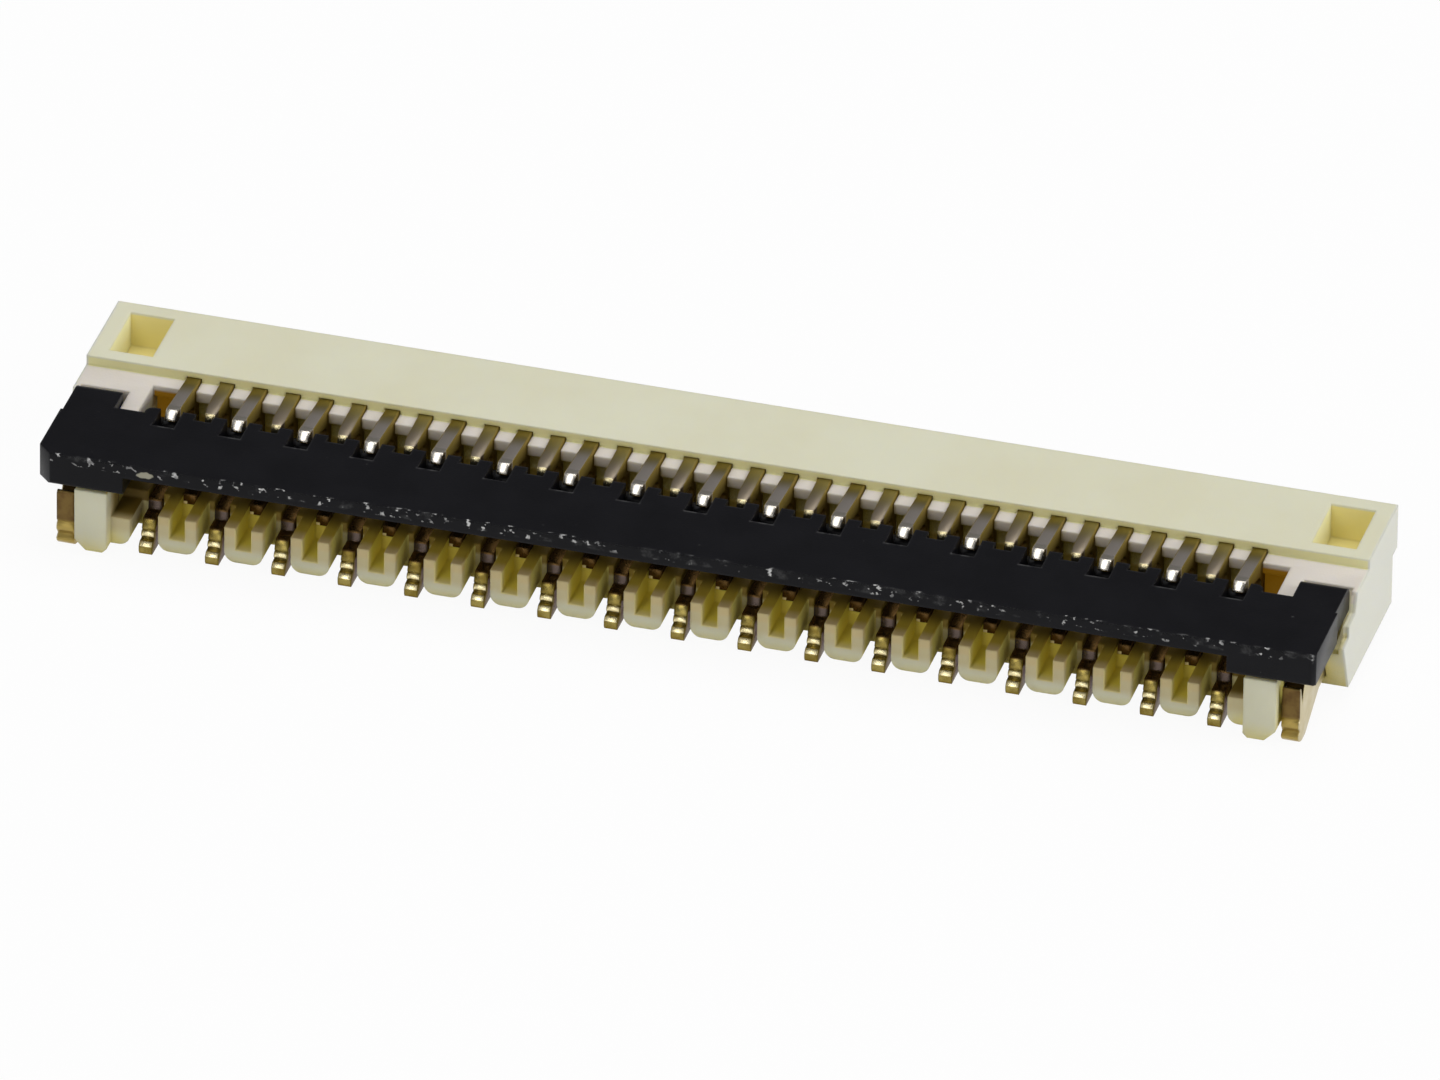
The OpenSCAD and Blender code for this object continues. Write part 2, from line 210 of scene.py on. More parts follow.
# %% [markdown]
# An effect that several finishes share becomes a node group: a small tree with named inputs and
# outputs, built once and placed in each material with its own values. One helper makes an empty
# group with its sockets, and the other places a group in a tree.

# %% Group helpers
def new_group(name, inputs, outputs):
    """An empty shader group. Each input is (socket name, socket type, default or None)."""
    group = bpy.data.node_groups.new(name, "ShaderNodeTree")
    for label, kind, default in inputs:
        socket = group.interface.new_socket(label, in_out="INPUT", socket_type=kind)
        if default is not None:
            socket.default_value = default
    for label, kind in outputs:
        group.interface.new_socket(label, in_out="OUTPUT", socket_type=kind)
    return group, group.nodes.new("NodeGroupInput"), group.nodes.new("NodeGroupOutput")


def use_group(tree, group, **values):
    """Places a group in a tree. Underscores in the keyword stand for spaces in the socket name."""
    made = add_node(tree, "ShaderNodeGroup", node_tree=group)
    for name, value in values.items():
        put(tree, made.inputs[name.replace("_", " ")], value)
    return made.outputs


print("group helpers ready")

# %% [markdown]
# All finishes are placed by real millimetres on the part, so one small group turns the object
# coordinates into millimetres. Every solid sits at the frame's origin, so these are the same X, Y
# and Z that the drawing uses, and they travel with the piece when it moves. The two ends of the
# part are mirror images, so Side gives the distance from the middle for both at once.

# %% Group: place on the part
def make_place_group():
    group, _, out = new_group("part_place", [], [
        ("Place", "NodeSocketVector"), ("X", "NodeSocketFloat"), ("Y", "NodeSocketFloat"),
        ("Z", "NodeSocketFloat"), ("Side", "NodeSocketFloat"),
    ])
    where = add_node(group, "ShaderNodeTexCoord").outputs["Object"]
    place = calc_vector(group, "MULTIPLY", where, (1 / MM,) * 3)
    axes = split(group, place)
    put(group, out.inputs["Place"], place)
    for axis in "XYZ":
        put(group, out.inputs[axis], axes[axis])
    put(group, out.inputs["Side"], calc(group, "ABSOLUTE", axes["X"]))
    return group


place_group = make_place_group()
print("group:", place_group.name)

# %% [markdown]
# Moulded plastic copies the spark-eroded wall of its mould: a fine, even grain with faint cloudy
# patches in tone. The group gives a height for bump, a tone and a change of gloss, so both plastics
# share it with their own grain sizes.

# %% Group: moulded grain
PATCH_EDGE = (0.3, 0.7)
GRAIN_DETAIL, GRAIN_ROUGHNESS = 3.0, 0.6
CLOUD_DETAIL, CLOUD_ROUGHNESS = 3.0, 0.55
CLOUD_IN_GLOSS = 0.5


def make_grain_group():
    group, given, out = new_group("moulded_grain", [
        ("Place", "NodeSocketVector", None),
        ("Grain Scale", "NodeSocketFloat", 40.0),
        ("Cloud Scale", "NodeSocketFloat", 1.5),
    ], [
        ("Height", "NodeSocketFloat"), ("Cloud", "NodeSocketFloat"), ("Gloss", "NodeSocketFloat"),
    ])
    place = given.outputs["Place"]
    fine = noise(group, place, given.outputs["Grain Scale"], GRAIN_DETAIL, GRAIN_ROUGHNESS)
    cloud = noise(group, place, given.outputs["Cloud Scale"], CLOUD_DETAIL, CLOUD_ROUGHNESS)
    put(group, out.inputs["Height"], fine)
    put(group, out.inputs["Cloud"], smooth_step(group, cloud, *PATCH_EDGE))
    put(group, out.inputs["Gloss"], mix_value(group, CLOUD_IN_GLOSS, fine, cloud))
    return group


grain_group = make_grain_group()
print("group:", grain_group.name)

# %% [markdown]
# In slots and corners the plastic looks darker and warmer, because light gets there only after
# bouncing from its neighbours. Path tracing gives part of that. This group measures the rest by
# ambient occlusion: 0 in the open and 1 deep in a crevice.

# %% Group: crevice depth
CREVICE_SAMPLES = 4


def make_crevice_group():
    group, given, out = new_group("crevice_depth", [
        ("Reach", "NodeSocketFloat", 0.1),
    ], [("Depth", "NodeSocketFloat")])
    occlusion = add_node(group, "ShaderNodeAmbientOcclusion", samples=CREVICE_SAMPLES)
    reach = calc(group, "MULTIPLY", given.outputs["Reach"], MM)
    put(group, occlusion.inputs["Distance"], reach)
    put(group, out.inputs["Depth"], calc(group, "SUBTRACT", 1.0, occlusion.outputs["AO"]))
    return group


crevice_group = make_crevice_group()
print("group:", crevice_group.name)

# %% [markdown]
# Several finishes live only in a band of the part, such as the plating on the feet or the wear
# along an edge. A band mask is 1 between two limits and fades out softly beyond them.

# %% Group: band mask
def make_band_group():
    group, given, out = new_group("band_mask", [
        ("Value", "NodeSocketFloat", 0.0), ("Low", "NodeSocketFloat", 0.0),
        ("High", "NodeSocketFloat", 1.0), ("Soft", "NodeSocketFloat", 0.05),
    ], [("Mask", "NodeSocketFloat")])
    value, soft = given.outputs["Value"], given.outputs["Soft"]
    low_start = calc(group, "SUBTRACT", given.outputs["Low"], soft)
    high_end = calc(group, "ADD", given.outputs["High"], soft)
    rise = smooth_step(group, value, low_start, given.outputs["Low"])
    fall = smooth_step(group, value, given.outputs["High"], high_end)
    put(group, out.inputs["Mask"], calc(group, "SUBTRACT", rise, fall))
    return group


band_group = make_band_group()
print("group:", band_group.name)

# %% [markdown]
# Stamped sheet shows its cut: the punched edge has streaks that run through the sheet, here along
# X, and the plating over it is never quite even. The group gives both, as a streak height and a
# patchy tone.

# %% Group: stamped streaks
STREAK_STRETCH = (0.15, 1.0, 1.0)
TONE_SCALE, TONE_DETAIL, TONE_ROUGHNESS = 7.0, 3.0, 0.6


def make_streak_group():
    group, given, out = new_group("stamped_streaks", [
        ("Place", "NodeSocketVector", None), ("Streak Scale", "NodeSocketFloat", 30.0),
    ], [("Height", "NodeSocketFloat"), ("Tone", "NodeSocketFloat")])
    place = given.outputs["Place"]
    drawn = calc_vector(group, "MULTIPLY", place, STREAK_STRETCH)
    put(group, out.inputs["Height"], noise(group, drawn, given.outputs["Streak Scale"]))
    tone = noise(group, place, TONE_SCALE, TONE_DETAIL, TONE_ROUGHNESS)
    put(group, out.inputs["Tone"], smooth_step(group, tone, *PATCH_EDGE))
    return group


streak_group = make_streak_group()
print("group:", streak_group.name)

# %% [markdown]
# Masks combine like sets: multiplied they leave their overlap, the greater of two is their union,
# and one minus a mask is everything else. A place on the part is then a box of bands. From here on,
# a limit with three numbers is a band, from, to and the width of its fade, and a limit with two is
# a soft step from 0 to 1. Both are in millimetres where they name an axis.

# %% Mask helpers
ROW_FADE = 0.01


def band(tree, value, low, high, soft):
    return use_group(tree, band_group, Value=value, Low=low, High=high, Soft=soft)["Mask"]


def both(tree, *masks):
    """The overlap of two or more masks."""
    overlap = masks[0]
    for mask in masks[1:]:
        overlap = calc(tree, "MULTIPLY", overlap, mask)
    return overlap


def either(tree, first, second):
    return calc(tree, "MAXIMUM", first, second)


def opposite(tree, mask):
    return calc(tree, "SUBTRACT", 1.0, mask)


def weaken(tree, mask, share):
    return calc(tree, "MULTIPLY", mask, share)


def zone(tree, place, **bands):
    """1 inside a box of the part. Each keyword is an axis of the place group with its band."""
    return both(tree, *[band(tree, place[axis], *limits) for axis, limits in bands.items()])


def row_mask(tree, place, limit):
    """1 along the row of contacts and 0 beyond a limit towards both ends."""
    return opposite(tree, smooth_step(tree, place["Side"], limit - ROW_FADE, limit + ROW_FADE))


print("mask helpers ready")

# %% [markdown]
# A moulding never has a razor edge, and a stamped sheet has a small burr radius. Rounded edges
# catch a thin line of light and tell the eye how big a thing is. A bevel modifier rounds the solids
# without touching their own points: the triangles are first welded and merged back into flat faces,
# and weighted normals keep the flats flat.

# %% Round the edges of the solids
EDGE_RADII = {"housing": 0.018, "actuator": 0.022, "nail": 0.014, "contact": 0.012}
ROUNDING_STEPS = 2
WELD_REACH = 0.0005
FLAT_WITHIN = math.radians(0.5)
EDGE_BEYOND = math.radians(25)


def round_edges(solid, radius):
    weld = solid.modifiers.new("weld", "WELD")
    weld.merge_threshold = WELD_REACH * MM
    flats = solid.modifiers.new("flats", "DECIMATE")
    flats.decimate_type = "DISSOLVE"
    flats.angle_limit = FLAT_WITHIN
    bevel = solid.modifiers.new("rounded edges", "BEVEL")
    bevel.width = radius * MM
    bevel.segments = ROUNDING_STEPS
    bevel.limit_method = "ANGLE"
    bevel.angle_limit = EDGE_BEYOND
    bevel.use_clamp_overlap = True
    normals = solid.modifiers.new("even shading", "WEIGHTED_NORMAL")
    normals.keep_sharp = False


for name, solid in nodes.items():
    round_edges(solid, EDGE_RADII[name.split("_")[0]])
print("edges rounded on", len(nodes), "solids")

# %% [markdown]
# Every finish ends in one Principled shader, so a helper makes the material and its bump, and the
# finish function fills in the rest. Values that are the same all over a surface are set straight on
# the shader.

# %% Material helpers
BEVEL_SAMPLES = 3


def start_material(name):
    material = bpy.data.materials.new(name)
    material.use_nodes = True
    tree = material.node_tree
    return material, tree, tree.nodes["Principled BSDF"]


def add_bump(tree, shader, height, distance, edge_radius):
    """Bump on top of edges that the shader rounds a little more than the mesh does."""
    edges = add_node(tree, "ShaderNodeBevel", samples=BEVEL_SAMPLES)
    put(tree, edges.inputs["Radius"], edge_radius)
    bump = add_node(tree, "ShaderNodeBump")
    put(tree, bump.inputs["Height"], height)
    put(tree, bump.inputs["Distance"], distance)
    put(tree, bump.inputs["Normal"], edges.outputs["Normal"])
    put(tree, shader.inputs["Normal"], bump.outputs["Normal"])


def dress(solid, material):
    solid.data.materials.clear()
    solid.data.materials.append(material)


print("material helpers ready")

# %% [markdown]
# The housing is moulded from a heat-proof cream plastic that lets a little light through. On open
# faces it is pale and slightly green, and where walls face each other the light that bounces in
# the plastic turns amber, then brown. Light scattered through a volume would do that by itself, but
# it is slow and noisy at this size, so the crevice depth paints that light and shade into the
# colour: amber in corners, olive and brown deep in the slots and pits. The narrow gaps beside the
# lever are open to the outside, so their depth counts for less.

# %% Housing: cream with painted amber shade in the depth
CREAM = linear(216, 215, 191)
CREAM_WARM = linear(210, 206, 176)
AMBER = linear(230, 217, 138)
SLOT_SHADE_OLIVE = linear(218, 202, 84)
PIT_SHADE_BROWN = linear(108, 90, 22)

WALL_REACH = 0.45
CLOUD_SHARE = 0.5
AMBER_DEPTH = (0.25, 0.62)
DARK_DEPTH = (0.58, 0.85)
OLIVE_TO_BROWN_Y = (-0.75, -0.35)
OPEN_END_SIDE = (row_end + 0.3, row_end + 0.315)
OPEN_END_Z = (0.62, 0.68)
OPEN_END_SHARE = 0.7


def wall_depth(tree, place):
    """Crevice depth of the housing, held back in the open gaps at its ends."""
    depth = use_group(tree, crevice_group, Reach=WALL_REACH)["Depth"]
    outer = smooth_step(tree, place["Side"], *OPEN_END_SIDE)
    open_end = both(tree, outer, smooth_step(tree, place["Z"], *OPEN_END_Z))
    return both(tree, depth, opposite(tree, weaken(tree, open_end, OPEN_END_SHARE)))


def cream_with_painted_depth_shade(tree, place, cloud, depth):
    cream = mix_colour(tree, weaken(tree, cloud, CLOUD_SHARE), CREAM, CREAM_WARM)
    warm = mix_colour(tree, smooth_step(tree, depth, *AMBER_DEPTH), cream, AMBER)
    dark = mix_colour(tree, smooth_step(tree, place["Y"], *OLIVE_TO_BROWN_Y), SLOT_SHADE_OLIVE, PIT_SHADE_BROWN)
    return mix_colour(tree, smooth_step(tree, depth, *DARK_DEPTH), warm, dark)


print("the cream turns amber from an occlusion of", AMBER_DEPTH[0])

# %% [markdown]
# Below the roof's rear step lies a ledge, cut into ribs by the contact arms. It looks a little
# whiter and pinker than the roof. The low step face above it gets a yellower painted shade, as an
# upright face gets less light than the tops. Both are open flat faces, so no depth mask finds
# them: two boxes on the part do.

# %% Housing: ledge and step
LEDGE_PALE = linear(211, 204, 194)
STEP_SHADE_YELLOW = linear(223, 218, 164)

LEDGE = {"Y": (-0.6, 0.13, 0.015), "Z": (0.82, 0.925, 0.02)}
STEP = {"Y": (0.135, 0.165, 0.005), "Z": (0.9, 0.98, 0.01)}


def ledge_colours(tree, place, colour):
    colour = mix_colour(tree, zone(tree, place, **LEDGE), colour, LEDGE_PALE)
    return mix_colour(tree, zone(tree, place, **STEP), colour, STEP_SHADE_YELLOW)


print("ledge from Z", LEDGE["Z"][0], "to", LEDGE["Z"][1])

# %% [markdown]
# Slotted lumps stand between the solder tails, and their tops run in under the lever. Their rear
# faces are painted tan towards the top, and their tops olive and then dark further in, where less
# and less light arrives: all of it painted shade of the lever. The crevice depth alone leaves the
# tops too pale, so the shade is painted by the distance from the rear face. The blocks just past
# both ends of the row lie deeper in the shade and get dark sooner.

# %% Housing: lumps under the lever
LUMP_FACE_SHADE = linear(202, 190, 148)
LEVER_GREY = linear(208, 184, 128)
LEVER_SHADE = linear(190, 162, 56)
LEVER_DEEP = linear(122, 99, 34)

LUMP_REAR = -1.35
LUMP_TOP = 0.44
LUMP_ROW = row_end + 0.3
LUMP_FRONT_Y = (-1.0, -0.95)
LUMP_FACE_Z = (0.28, 0.5, 0.12)
LUMP_TOP_Z = (LUMP_TOP - 0.06, 0.6, 0.05)
GREY_Y = (LUMP_REAR - 0.02, LUMP_REAR + 0.02)
SHADE_Y = (LUMP_REAR + 0.02, LUMP_REAR + 0.16)
DEEP_Y = (LUMP_REAR + 0.2, LUMP_REAR + 0.45)
INWARD_Y = (LUMP_REAR, LUMP_REAR + 0.14)
END_LUMP_SIDE = (row_end + 0.05, row_end + 0.08)
END_LUMP_Z = (0.35, 0.6, 0.02)


def shade_under_lever(tree, place, colour):
    row = row_mask(tree, place, LUMP_ROW)
    rear = opposite(tree, smooth_step(tree, place["Y"], *LUMP_FRONT_Y))
    faces = both(tree, row, rear, zone(tree, place, Z=LUMP_FACE_Z))
    colour = mix_colour(tree, faces, colour, LUMP_FACE_SHADE)
    tops = both(tree, row, zone(tree, place, Z=LUMP_TOP_Z))
    for limits, shade in ((GREY_Y, LEVER_GREY), (SHADE_Y, LEVER_SHADE)):
        under = both(tree, tops, smooth_step(tree, place["Y"], *limits))
        colour = mix_colour(tree, under, colour, shade)
    deep = both(tree, tops, smooth_step(tree, place["Y"], *DEEP_Y))
    beyond = both(tree, row, smooth_step(tree, place["Side"], *END_LUMP_SIDE))
    inward = smooth_step(tree, place["Y"], *INWARD_Y)
    end = both(tree, beyond, inward, zone(tree, place, Z=END_LUMP_Z))
    return mix_colour(tree, either(tree, deep, end), colour, LEVER_DEEP)


print("lump tops darken over", round(DEEP_Y[1] - GREY_Y[0], 3), "mm")

# %% [markdown]
# Each lump has an open slot down its middle, and its sides face the brown tails. Light reaches both
# mostly through the plastic, so they get a painted olive of that light and shade, paler at the rear
# face and richer further in. They repeat with the contacts, so a zigzag of X, which runs up and down
# between 0 at a tail and the pitch at the middle of a lump, finds all of them at once. A shift moves
# its zero along the row.

# %% Housing: slots in the lumps
SLOT_FRONT_SHADE = linear(222, 208, 142)
WALL_SHADE_OLIVE = linear(222, 208, 114)

SLOT_ROW = row_end - 0.1
SLOT_LOW = 0.225
SLOT_FROM_TAIL = (0.215, 0.23)
SLOT = {"Z": (SLOT_LOW - 0.006, LUMP_TOP - 0.02, 0.006), "Y": (LUMP_REAR + 0.005, -0.9, 0.02)}
WALL_FROM_TAIL = (0.118, 0.138, 0.008)
WALL = {"Z": (0.1, LUMP_TOP - 0.03, 0.02), "Y": (LUMP_REAR, -0.95, 0.1)}


def from_tail(tree, place, shift=0.0):
    """Distance along the row from the middle of the nearest rear tail, or from a line beside it."""
    return calc(tree, "PINGPONG", calc(tree, "ADD", place["X"], shift), pitch)


def slot_masks(tree, place):
    """Three masks: inside the open slots, on the lump sides, and how far in from the rear face."""
    row = row_mask(tree, place, SLOT_ROW)
    apart = from_tail(tree, place)
    inward = smooth_step(tree, place["Y"], *INWARD_Y)
    inside = both(tree, row, smooth_step(tree, apart, *SLOT_FROM_TAIL), zone(tree, place, **SLOT))
    wall = both(tree, row, band(tree, apart, *WALL_FROM_TAIL), inward, zone(tree, place, **WALL))
    return inside, wall, inward


def slot_colours(tree, masks, colour):
    inside, wall, inward = masks
    colour = mix_colour(tree, wall, colour, WALL_SHADE_OLIVE)
    return mix_colour(tree, inside, colour, mix_colour(tree, inward, SLOT_FRONT_SHADE, SLOT_SHADE_OLIVE))


print("slots from Z", SLOT_LOW, "to", LUMP_TOP)

# %% [markdown]
# The ends of the housing have three painted tones of their own. The outer faces get a cooler cream,
# a painted tone of the cool light from the side. The thin end skins let so much light through that
# they get a painted glow. Between the last contact and the end wall an open pit gets painted amber
# shade and an amber glow. Each is a box on the part, the same at both ends.

# %% Housing: the two ends
END_SIDE_LIGHT_CREAM = linear(212, 212, 200)
END_PIT_SHADE_AMBER = linear(120, 88, 18)

OUTER_FACE_SIDE = (half_width - 0.025, half_width - 0.01)
SKIN = {
    "Side": (half_width - 0.12, half_width - 0.035, 0.005),
    "Y": (-0.58, 0.12, 0.02),
    "Z": (0.4, 0.87, 0.02),
}
END_PIT = {
    "Side": (row_end + 0.075, row_end + 0.305, 0.01),
    "Y": (-0.55, 0.14, 0.01),
    "Z": (0.52, 0.85, 0.03),
}


def end_colours(tree, place, end_pit, colour):
    outside = smooth_step(tree, place["Side"], *OUTER_FACE_SIDE)
    colour = mix_colour(tree, outside, colour, END_SIDE_LIGHT_CREAM)
    return mix_colour(tree, end_pit, colour, END_PIT_SHADE_AMBER)


print("end pits from", END_PIT["Side"][0], "to", END_PIT["Side"][1], "mm off the middle")

# %% [markdown]
# Two blind pockets sink into the roof close to the ends. Only a thin wall is left outside them, so
# light comes through it, and they are painted amber all over for that light and shade. The wall that
# faces the brighter side gets a paler painted light, which a mask on the direction of the face gives:
# the true normal is that of the solid, so bump can't break it up.

# %% Housing: pockets in the roof
POCKET_AMBER = linear(226, 214, 142)
POCKET_LIT_PALE = linear(224, 220, 172)

POCKET = {
    "Side": (5.22, 5.62, 0.02),
    "Y": (0.29, 0.95, 0.02),
    "Z": (0.5, roof_z - 0.03, 0.02),
}
FACING_RIGHT = (0.5, 0.9)


def pocket_colours(tree, pocket, colour):
    normal = add_node(tree, "ShaderNodeNewGeometry").outputs["True Normal"]
    right = smooth_step(tree, split(tree, normal)["X"], *FACING_RIGHT)
    return mix_colour(tree, pocket, colour, mix_colour(tree, right, POCKET_AMBER, POCKET_LIT_PALE))


print("pockets from", POCKET["Side"][0], "to", POCKET["Side"][1], "mm off the middle")

# %% [markdown]
# Light that travels inside the plastic leaves it again in the pockets, slots, pits and thin skins.
# A faint emission stands for that light. It is masked to those places and only lifts the shade
# there, where a grey shadow would make the plastic look opaque.

# %% Housing: light inside the plastic
NO_GLOW = (0, 0, 0, 1)
SLOT_GLOW = linear(40, 35, 8)
PIT_GLOW = linear(40, 34, 8)
SKIN_GLOW = linear(112, 108, 88)
POCKET_GLOW = linear(48, 44, 24)
END_PIT_GLOW = linear(84, 57, 5)

PIT_ROW = row_end + 0.07
PIT_DEPTH = (0.5, 0.8)
PIT_Y = (-0.55, 0.6, 0.05)


def inner_light(tree, place, depth, slots, pocket, end_pit):
    inside, _, inward = slots
    pit = both(tree, smooth_step(tree, depth, *PIT_DEPTH), row_mask(tree, place, PIT_ROW))
    layers = (
        (both(tree, inside, inward), SLOT_GLOW),
        (both(tree, pit, zone(tree, place, Y=PIT_Y)), PIT_GLOW),
        (zone(tree, place, **SKIN), SKIN_GLOW),
        (pocket, POCKET_GLOW),
        (end_pit, END_PIT_GLOW),
    )
    glow = NO_GLOW
    for mask, colour in layers:
        glow = mix_colour(tree, mask, glow, colour)
    return glow


print("strongest glow, red channel in linear light:", round(SKIN_GLOW[0], 3))

# %% [markdown]
# The finish itself only stacks these layers, from the widest to the smallest. A satin gloss from
# the grain and a little subsurface scattering over a few hundredths of a millimetre soften it all.

# %% Finish: cream housing plastic
HOUSING_GRAIN, HOUSING_CLOUD = 45.0, 0.9
HOUSING_GLOSS = (0.5, 0.65)
SCATTER_COLOUR = (1.0, 0.85, 0.4)
SCATTER_REACH = 0.06
GRAIN_HEIGHT = 0.0015
SHADED_EDGE = 0.03


def make_housing_plastic():
    material, tree, shader = start_material("cream_housing_plastic")
    place = use_group(tree, place_group)
    grain = use_group(
        tree, grain_group, Place=place["Place"], Grain_Scale=HOUSING_GRAIN, Cloud_Scale=HOUSING_CLOUD)
    depth = wall_depth(tree, place)
    slots = slot_masks(tree, place)
    pocket = zone(tree, place, **POCKET)
    end_pit = zone(tree, place, **END_PIT)

    colour = cream_with_painted_depth_shade(tree, place, grain["Cloud"], depth)
    colour = ledge_colours(tree, place, colour)
    colour = shade_under_lever(tree, place, colour)
    colour = slot_colours(tree, slots, colour)
    colour = end_colours(tree, place, end_pit, colour)
    put(tree, shader.inputs["Base Color"], pocket_colours(tree, pocket, colour))
    glow = inner_light(tree, place, depth, slots, pocket, end_pit)
    put(tree, shader.inputs["Emission Color"], glow)
    shader.inputs["Emission Strength"].default_value = 1.0
    put(tree, shader.inputs["Roughness"], mix_value(tree, grain["Gloss"], *HOUSING_GLOSS))
    shader.inputs["Specular IOR Level"].default_value = 0.3
    shader.inputs["Subsurface Weight"].default_value = 0.25
    shader.inputs["Subsurface Radius"].default_value = SCATTER_COLOUR
    shader.inputs["Subsurface Scale"].default_value = SCATTER_REACH * MM
    add_bump(tree, shader, grain["Height"], GRAIN_HEIGHT * MM, SHADED_EDGE * MM)
    return material


housing_plastic = make_housing_plastic()
dress(nodes["housing"], housing_plastic)
print("housing:", housing_plastic.name)

# %% [markdown]
# The actuator is lifted with a fingernail at its thin rear edge, and that edge is rough all along:
# a faint grey smear, and pale specks in loose clumps where the rough rim catches the light, which
# are painted glints. The marks have next to no height, so small meshes would be wasted on them. They
# are the peaks of a fine noise, thinned out by a coarser one and kept to the edge by a band.

# %% Actuator: painted glints along the lifting edge
SMEAR = linear(84, 84, 84)
DULL_EDGE_GLINT = linear(120, 120, 120)
PALE_EDGE_GLINT = linear(206, 206, 204)

lever_rear = in_mm(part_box("actuator")[0].y)
REAR_FACE_Y = (lever_rear - 0.02, lever_rear + 0.012, 0.025)
LIFTING_EDGE_Z = (roof_z - 0.07, roof_z, 0.025)
EDGE_GLINT_STRETCH = (0.8, 1.0, 1.0)
EDGE_GLINT_SCALE, EDGE_GLINT_RARITY = 18.0, 0.595
CLUMP_SCALE, CLUMP_EDGE = 2.6, (0.36, 0.54)
EDGE_GLINT_TONE_SCALE, EDGE_GLINT_TONE_EDGE = 11.0, (0.4, 0.6)
SMEAR_SCALE, SMEAR_DETAIL = 9.0, 3.0
SMEAR_EDGE, SMEAR_SHARE = (0.52, 0.7), 0.4
SPECK_EDGE = 0.05
RAGGED = 0.6


def speck_mask(tree, place, scale, rarity):
    """Small ragged marks: the peaks of a fine noise. A higher rarity keeps fewer peaks."""
    peaks = noise(tree, place, scale, roughness=RAGGED)
    return smooth_step(tree, peaks, rarity, rarity + SPECK_EDGE)


def edge_smear_and_glints(tree, place, rear):
    """Two masks along the lifting edge, the smear and the painted glints, and the colour of the glints.
    """
    where = place["Place"]
    edge = both(tree, rear, zone(tree, place, Z=LIFTING_EDGE_Z))
    drawn = calc_vector(tree, "MULTIPLY", where, EDGE_GLINT_STRETCH)
    smear = smooth_step(tree, noise(tree, drawn, SMEAR_SCALE, SMEAR_DETAIL, RAGGED), *SMEAR_EDGE)
    smear = weaken(tree, both(tree, smear, edge), SMEAR_SHARE)
    clumps = smooth_step(tree, noise(tree, where, CLUMP_SCALE), *CLUMP_EDGE)
    edge_glints = both(tree, speck_mask(tree, drawn, EDGE_GLINT_SCALE, EDGE_GLINT_RARITY), clumps, edge)
    tone = smooth_step(tree, noise(tree, where, EDGE_GLINT_TONE_SCALE), *EDGE_GLINT_TONE_EDGE)
    return smear, edge_glints, mix_colour(tree, tone, DULL_EDGE_GLINT, PALE_EDGE_GLINT)


print("lifting edge at Y", lever_rear)

# %% [markdown]
# A few faint specks lie elsewhere on the plate, and the rear edges of the notches for the long
# contact tips get a painted grey highlight in places. Both take the smear's grey at a part of its
# strength.

# %% Actuator: stray specks and painted highlights on the notches
NOTCH_REAR = -0.79
NOTCH_Y = (NOTCH_REAR - 0.012, NOTCH_REAR + 0.004, 0.012)
NOTCH_FROM_TAIL = (-0.1, 0.1, 0.02)
NOTCH_ROW = row_end + 0.15
NOTCH_PATCH_SCALE, NOTCH_PATCH_EDGE, NOTCH_HIGHLIGHT_SHARE = 9.0, (0.42, 0.6), 0.5
STRAY_SCALE, STRAY_RARITY, STRAY_SHARE = 9.0, 0.74, 0.6


def stray_specks_and_notch_highlight(tree, place):
    where = place["Place"]
    stray = weaken(tree, speck_mask(tree, where, STRAY_SCALE, STRAY_RARITY), STRAY_SHARE)
    near_tip = band(tree, from_tail(tree, place), *NOTCH_FROM_TAIL)
    notch = both(tree, zone(tree, place, Y=NOTCH_Y), near_tip, row_mask(tree, place, NOTCH_ROW))
    patches = smooth_step(tree, noise(tree, where, NOTCH_PATCH_SCALE), *NOTCH_PATCH_EDGE)
    return either(tree, stray, weaken(tree, both(tree, notch, patches), NOTCH_HIGHLIGHT_SHARE))


print("notch edges rubbed at Y", NOTCH_REAR)

# %% [markdown]
# One larger chip sits near the left end of the rear face. It is an oval with a ragged outline: the
# place is shifted a little by noise before the distance from the chip's middle is measured.

# %% Actuator: one chip
CHIP_PALE = linear(160, 157, 138)
CHIP_X, CHIP_Z = -4.74, 0.93
CHIP_WIDE, CHIP_HIGH = 0.075, 0.04
RAGGED_SCALE, RAGGED_SHIFT = 14.0, 0.03
CHIP_EDGE = (0.7, 1.1)


def ragged_place(tree, where):
    """The place on the part, shifted at random by up to a few hundredths of a millimetre."""
    wobble = add_node(tree, "ShaderNodeTexNoise")
    put(tree, wobble.inputs["Vector"], where)
    put(tree, wobble.inputs["Scale"], RAGGED_SCALE)
    centred = calc_vector(tree, "SUBTRACT", wobble.outputs["Color"], (0.5, 0.5, 0.5))
    shift = calc_vector(tree, "MULTIPLY", centred, (2 * RAGGED_SHIFT,) * 3)
    return split(tree, calc_vector(tree, "ADD", where, shift))


def chip_mask(tree, place):
    bent = ragged_place(tree, place["Place"])
    across = calc(tree, "DIVIDE", calc(tree, "SUBTRACT", bent["X"], CHIP_X), CHIP_WIDE)
    up = calc(tree, "DIVIDE", calc(tree, "SUBTRACT", bent["Z"], CHIP_Z), CHIP_HIGH)
    reach = calc(tree, "ADD", both(tree, across, across), both(tree, up, up))
    return opposite(tree, smooth_step(tree, reach, *CHIP_EDGE))


print("chip at X", CHIP_X, "Z", CHIP_Z)

# %% [markdown]
# The plate itself is black plastic with a satin mould finish. A pure black would hide its form, so
# it stays a little above black, with the grain's clouds in tone and gloss, and its weak specular
# level keeps the top from mirroring the light tent.

# %% Finish: black actuator plastic
BLACK = linear(9, 9, 13)
BLACK_WORN = linear(14, 14, 18)

ACTUATOR_GRAIN, ACTUATOR_CLOUD = 60.0, 2.0
ACTUATOR_GLOSS = (0.26, 0.4)


